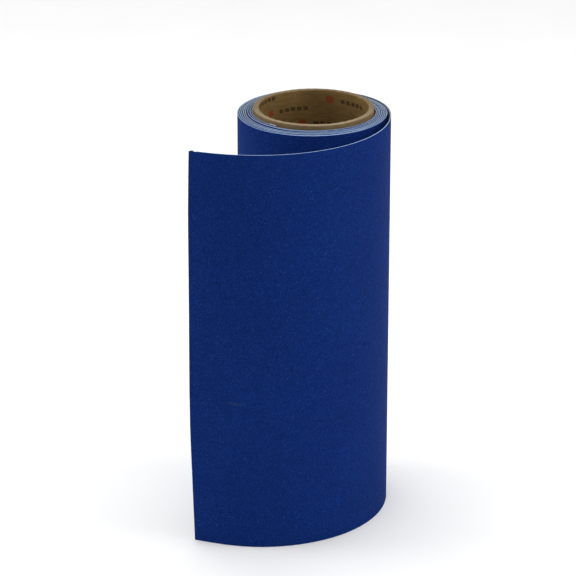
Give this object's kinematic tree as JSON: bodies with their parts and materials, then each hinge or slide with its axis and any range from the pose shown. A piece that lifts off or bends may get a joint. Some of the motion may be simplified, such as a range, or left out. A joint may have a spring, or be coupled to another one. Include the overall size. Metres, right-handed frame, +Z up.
{
  "type": "grip tape roll",
  "caption": "Roll of blue grit-coated anti-slip tape on a paperboard core, standing on end, with its loose outer lap curving round the front.",
  "frame": {"origin": "core bore axis at the plane the roll stands on", "axes": "+Z up along the core's axis; -Y towards the side the loose lap passes in front of; +X towards where the lap leaves the roll"},
  "size_m": [0.138, 0.1451, 0.295],
  "materials": {
    "core_liner": "printed kraft paper",
    "core_body": "raw cut board",
    "core_wrap": "kraft paper",
    "start_strip": "double-sided tissue strip",
    "release_liner": "silicone-coated, smooth",
    "adhesive": "tacky, clear",
    "carrier_film": "matte film",
    "grit": "fine mineral grit in blue resin"
  },
  "bodies": {
    "roll": {"core_inner_ply": "core_liner", "core_ply_2": "core_body", "core_ply_3": "core_body", "core_ply_4": "core_body", "core_outer_ply": "core_wrap", "start_strip": "start_strip", "pack_liner": "release_liner", "pack_adhesive": "adhesive", "pack_film": "carrier_film", "pack_grit": "grit"},
    "lap_1": {"lap_1_liner": "release_liner", "lap_1_adhesive": "adhesive", "lap_1_film": "carrier_film", "lap_1_grit": "grit"},
    "lap_2": {"lap_2_liner": "release_liner", "lap_2_adhesive": "adhesive", "lap_2_film": "carrier_film", "lap_2_grit": "grit"},
    "lap_3": {"lap_3_liner": "release_liner", "lap_3_adhesive": "adhesive", "lap_3_film": "carrier_film", "lap_3_grit": "grit"},
    "lap_4": {"lap_4_liner": "release_liner", "lap_4_adhesive": "adhesive", "lap_4_film": "carrier_film", "lap_4_grit": "grit"},
    "lap_5": {"lap_5_liner": "release_liner", "lap_5_adhesive": "adhesive", "lap_5_film": "carrier_film", "lap_5_grit": "grit"},
    "lap_6": {"lap_6_liner": "release_liner", "lap_6_adhesive": "adhesive", "lap_6_film": "carrier_film", "lap_6_grit": "grit"},
    "lap_7": {"lap_7_liner": "release_liner", "lap_7_adhesive": "adhesive", "lap_7_film": "carrier_film", "lap_7_grit": "grit"},
    "free_end": {"free_end_liner": "release_liner", "free_end_adhesive": "adhesive", "free_end_film": "carrier_film", "free_end_grit": "grit"},
    "tab_1": {"tab_1_adhesive": "adhesive", "tab_1_film": "carrier_film", "tab_1_grit": "grit"},
    "tab_2": {"tab_2_adhesive": "adhesive", "tab_2_film": "carrier_film", "tab_2_grit": "grit"},
    "tab_3": {"tab_3_adhesive": "adhesive", "tab_3_film": "carrier_film", "tab_3_grit": "grit"}
  },
  "joints": [
    {"name": "tail_curl_1", "type": "hinge", "parent": "roll", "child": "lap_1", "pos_m": [0.05299, -0.00003, 0.146], "axis": [0, 0, 1], "range_deg": [-4.7, 6.5]},
    {"name": "tail_curl_2", "type": "hinge", "parent": "lap_1", "child": "lap_2", "pos_m": [0.05208, -0.02198, 0.146], "axis": [0, 0, 1], "range_deg": [-8.22, 11.38]},
    {"name": "tail_curl_3", "type": "hinge", "parent": "lap_2", "child": "lap_3", "pos_m": [0.04571, -0.04299, 0.146], "axis": [0, 0, 1], "range_deg": [-8.93, 12.35]},
    {"name": "tail_curl_4", "type": "hinge", "parent": "lap_3", "child": "lap_4", "pos_m": [0.03429, -0.06175, 0.146], "axis": [0, 0, 1], "range_deg": [-8.93, 12.35]},
    {"name": "tail_curl_5", "type": "hinge", "parent": "lap_4", "child": "lap_5", "pos_m": [0.01857, -0.0771, 0.146], "axis": [0, 0, 1], "range_deg": [-9.16, 12.68]},
    {"name": "tail_curl_6", "type": "hinge", "parent": "lap_5", "child": "lap_6", "pos_m": [-0.00042, -0.08815, 0.146], "axis": [0, 0, 1], "range_deg": [-9.63, 13.32]},
    {"name": "tail_curl_7", "type": "hinge", "parent": "lap_6", "child": "lap_7", "pos_m": [-0.02149, -0.09442, 0.146], "axis": [0, 0, 1], "range_deg": [-10.34, 14.3]},
    {"name": "tail_curl_8", "type": "hinge", "parent": "lap_7", "child": "free_end", "pos_m": [-0.04343, -0.09583, 0.146], "axis": [0, 0, 1], "range_deg": [-12.22, 16.9]},
    {"name": "tape_peel_1", "type": "hinge", "parent": "free_end", "child": "tab_1", "pos_m": [-0.04941, -0.09549, 0.146], "axis": [0, 0, 1], "range_deg": [0, 32]},
    {"name": "tape_peel_2", "type": "hinge", "parent": "tab_1", "child": "tab_2", "pos_m": [-0.06125, -0.0938, 0.146], "axis": [0, 0, 1], "range_deg": [0, 32]},
    {"name": "tape_peel_3", "type": "hinge", "parent": "tab_2", "child": "tab_3", "pos_m": [-0.07288, -0.09097, 0.146], "axis": [0, 0, 1], "range_deg": [0, 32]}
  ],
  "couplings": [
    {"joint": "tail_curl_2", "follows": "tail_curl_1", "ratio": 1.75},
    {"joint": "tail_curl_3", "follows": "tail_curl_1", "ratio": 1.9},
    {"joint": "tail_curl_4", "follows": "tail_curl_1", "ratio": 1.9},
    {"joint": "tail_curl_5", "follows": "tail_curl_1", "ratio": 1.95},
    {"joint": "tail_curl_6", "follows": "tail_curl_1", "ratio": 2.05},
    {"joint": "tail_curl_7", "follows": "tail_curl_1", "ratio": 2.2},
    {"joint": "tail_curl_8", "follows": "tail_curl_1", "ratio": 2.6},
    {"joint": "tape_peel_2", "follows": "tape_peel_1", "ratio": 1},
    {"joint": "tape_peel_3", "follows": "tape_peel_1", "ratio": 1}
  ]
}
